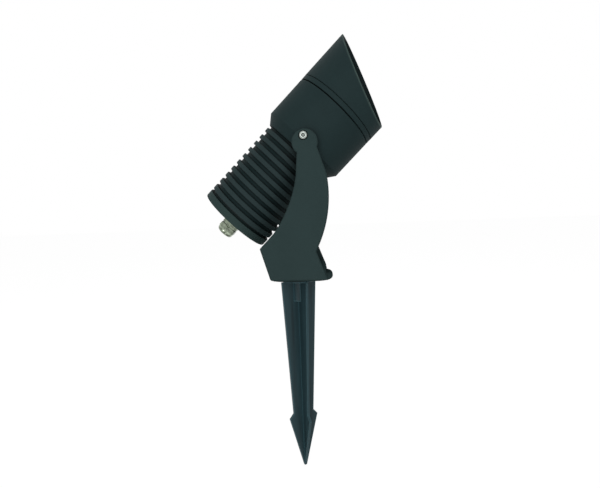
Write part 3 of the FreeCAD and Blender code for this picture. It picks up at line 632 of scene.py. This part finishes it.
# ---- edges of the CAD pieces --------------------------------------------------------------------
EDGE_WIDTHS_MM = {
    "ground_spike": 0.35,
    "glare_hood": 0.45,
    "gland_body": 0.25,
    "gland_nut": 0.25,
    "lamp_cup": 0.25,
    "rear_cap_screws": 0.2,
    "spike_screw": 0.25,
    "led_holder": 0.2,
    "terminal_block": 0.3,
}
SHARP_ANGLE = math.radians(32.0)
WELD_GAP = 1e-6


def add_weighted_normals(piece):
    normals = piece.modifiers.new("normals", "WEIGHTED_NORMAL")
    normals.keep_sharp = False


def round_edges(piece, width_mm):
    weld = piece.modifiers.new("weld", "WELD")
    weld.merge_threshold = WELD_GAP
    bevel = piece.modifiers.new("edge", "BEVEL")
    bevel.width = width_mm * MM
    bevel.segments = 2
    bevel.limit_method = "ANGLE"
    bevel.angle_limit = SHARP_ANGLE
    add_weighted_normals(piece)


for node, width in EDGE_WIDTHS_MM.items():
    round_edges(NODES[node], width)


# ---- pivot screws, sizes in mm ------------------------------------------------------------------
SCREW_STEPS = 48
DOME_STEPS = 8
HEAD_HEIGHT = 2.2
HEAD_TOP_R = 1.75
DOME_R = 3.72
DOME_FOOT = 0.45
# rises over the seat and radii
RIM = ((0.30, 3.80), (0.06, 3.78), (0.0, 3.70))
SHAFT_R = 2.00
TIP_R = 1.60
TIP_CHAMFER = 0.4
SHAFT_IN_CUP = 8.2
SOCKET_FLATS = 3.0
SOCKET_DEPTH = 1.3
# depths below the face and shares of the hexagon, and its share at the socket's floor
SOCKET_LIP = ((0.16, 1.0), (0.02, 1.10))
SOCKET_FOOT = 0.97
PIN_DROP = 0.22
PIN_CHAMFER = 0.10
PIN_TOP_R, PIN_EDGE_R, PIN_R = 0.52, 0.64, 0.66


def hexagon_radius(angle, across_flats):
    """Radius of a hexagon at that angle."""
    part = (angle + math.pi / 6) % (math.pi / 3) - math.pi / 6
    return across_flats / 2 / math.cos(part)


def screw_profile():
    """Rings of a pinned button-head screw from the pin's top out to the shaft's root.

    Each is a depth below the head's face, a radius, and whether that radius is a share of the socket's.
    """
    profile = [(PIN_DROP, PIN_TOP_R, False), (PIN_DROP + PIN_CHAMFER, PIN_EDGE_R, False),
               (SOCKET_DEPTH, PIN_R, False), (SOCKET_DEPTH, SOCKET_FOOT, True)]
    profile += [(depth, share, True) for depth, share in SOCKET_LIP]
    profile.append((0.0, HEAD_TOP_R, False))
    for step in range(1, DOME_STEPS + 1):
        turn = step / DOME_STEPS * math.pi / 2
        profile.append(((HEAD_HEIGHT - DOME_FOOT) * (1 - math.cos(turn)),
                        HEAD_TOP_R + (DOME_R - HEAD_TOP_R) * math.sin(turn), False))
    profile += [(HEAD_HEIGHT - rise, radius, False) for rise, radius in RIM]
    profile.append((HEAD_HEIGHT, SHAFT_R, False))
    return profile


def add_button_screw(bm, face_y, out, tip_y, x, z):
    """Button-head screw along Y with its face at face_y towards out, and its shaft to tip_y."""
    rings = [(face_y - out * depth * MM, radius, of_socket)
             for depth, radius, of_socket in screw_profile()]
    rings += [(tip_y + out * TIP_CHAMFER * MM, SHAFT_R, False), (tip_y, TIP_R, False)]
    loops = []
    for y, radius, of_socket in rings:
        loop = []
        for step in range(SCREW_STEPS):
            angle = 2 * math.pi * step / SCREW_STEPS
            reach = radius * (hexagon_radius(angle, SOCKET_FLATS) if of_socket else 1.0) * MM
            loop.append(bm.verts.new((x + reach * math.cos(angle), y, z + reach * math.sin(angle))))
        loops.append(loop)
    for inner, outer in zip(loops, loops[1:]):
        for step in range(SCREW_STEPS):
            after = (step + 1) % SCREW_STEPS
            bm.faces.new((inner[step], inner[after], outer[after], outer[step]))
    bm.faces.new(loops[0])
    bm.faces.new(loops[-1])


def add_pivot_screws():
    low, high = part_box("pivot_screws")
    x, z = (low.x + high.x) / 2, (low.z + high.z) / 2
    tip = abs(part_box("lamp_cup")[0].y + SHAFT_IN_CUP * MM)
    for name, side, face in (("pivot_screw_near", -1.0, low.y), ("pivot_screw_far", 1.0, high.y)):
        bm = bmesh.new()
        add_button_screw(bm, face, side, side * tip, x, z)
        bmesh.ops.recalc_face_normals(bm, faces=bm.faces)
        mesh = bpy.data.meshes.new(name)
        bm.to_mesh(mesh)
        bm.free()
        for polygon in mesh.polygons:
            polygon.use_smooth = True
        mesh.materials.append(looks["stainless"])
        screw = bpy.data.objects.new(name, mesh)
        bpy.context.scene.collection.objects.link(screw)
        add_weighted_normals(screw)
        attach(screw, "head")
        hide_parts("pivot_screws")


add_pivot_screws()


# ---- floor, light and view ----------------------------------------------------------------------
LAMP_AIM = (0.0, 0.0, 0.06)
FLOOR_DROP = 0.0006
FLOOR_SIZE = 14.0
PAPER_GREY = (0.86, 0.86, 0.86, 1.0)
WHITE = (1.0, 1.0, 1.0, 1.0)
GLOW_STRENGTH = 1.1
GLOW_SHARE = 0.85
WORLD_LEVEL = 0.42
LAMPS = (
    # name, place, size, power in W
    ("key", (-0.3, -1.93, 0.56), (1.4, 1.4), 19.0),
    ("fill", (1.2, -1.5, 0.0), (1.2, 1.0), 4.0),
    ("top", (0.2, 0.5, 1.6), (1.4, 1.0), 4.0),
)


def add_view_ray(nodes, links):
    """1 for a ray that the camera sees straight, mirrored or through glass, 0 for one that lights."""
    seen = nodes.new("ShaderNodeLightPath")
    value = seen.outputs["Is Camera Ray"]
    for ray in ("Is Glossy Ray", "Is Transmission Ray"):
        either = nodes.new("ShaderNodeMath")
        either.operation = "MAXIMUM"
        links.new(value, either.inputs[0])
        links.new(seen.outputs[ray], either.inputs[1])
        value = either.outputs[0]
    return value


def add_floor():
    low = min(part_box(node)[0].z for node in NODES)
    bpy.ops.mesh.primitive_plane_add(size=FLOOR_SIZE, location=(0.0, 0.0, low - FLOOR_DROP))
    floor = bpy.context.object
    floor.name = "floor"
    material = bpy.data.materials.new("floor")
    material.use_nodes = True
    nodes, links = material.node_tree.nodes, material.node_tree.links
    nodes.remove(nodes["Principled BSDF"])
    paper = nodes.new("ShaderNodeBsdfDiffuse")
    paper.inputs["Color"].default_value = PAPER_GREY
    glow = nodes.new("ShaderNodeEmission")
    glow.inputs["Color"].default_value = WHITE
    glow.inputs["Strength"].default_value = GLOW_STRENGTH
    share = nodes.new("ShaderNodeMath")
    share.operation = "MULTIPLY"
    share.inputs[1].default_value = GLOW_SHARE
    links.new(add_view_ray(nodes, links), share.inputs[0])
    mix = nodes.new("ShaderNodeMixShader")
    links.new(share.outputs[0], mix.inputs[0])
    links.new(paper.outputs[0], mix.inputs[1])
    links.new(glow.outputs[0], mix.inputs[2])
    links.new(mix.outputs[0], nodes["Material Output"].inputs["Surface"])
    floor.data.materials.append(material)


def add_area(name, place, size, power):
    data = bpy.data.lights.new(name, "AREA")
    data.shape = "RECTANGLE"
    data.size, data.size_y = size
    data.energy = power
    light = bpy.data.objects.new(name, data)
    light.location = place
    light.rotation_euler = (Vector(LAMP_AIM) - Vector(place)).to_track_quat("-Z", "Y").to_euler()
    bpy.context.scene.collection.objects.link(light)


def add_world():
    world = bpy.data.worlds.new("studio")
    world.use_nodes = True
    bpy.context.scene.world = world
    nodes, links = world.node_tree.nodes, world.node_tree.links
    background = nodes["Background"]
    background.inputs["Color"].default_value = WHITE
    strength = nodes.new("ShaderNodeMapRange")
    strength.inputs["To Min"].default_value = WORLD_LEVEL
    strength.inputs["To Max"].default_value = 1.0
    links.new(add_view_ray(nodes, links), strength.inputs["Value"])
    links.new(strength.outputs["Result"], background.inputs["Strength"])


add_camera()
add_floor()
add_world()
for lamp in LAMPS:
    add_area(*lamp)

view = bpy.context.scene.view_settings
view.view_transform = "Standard"
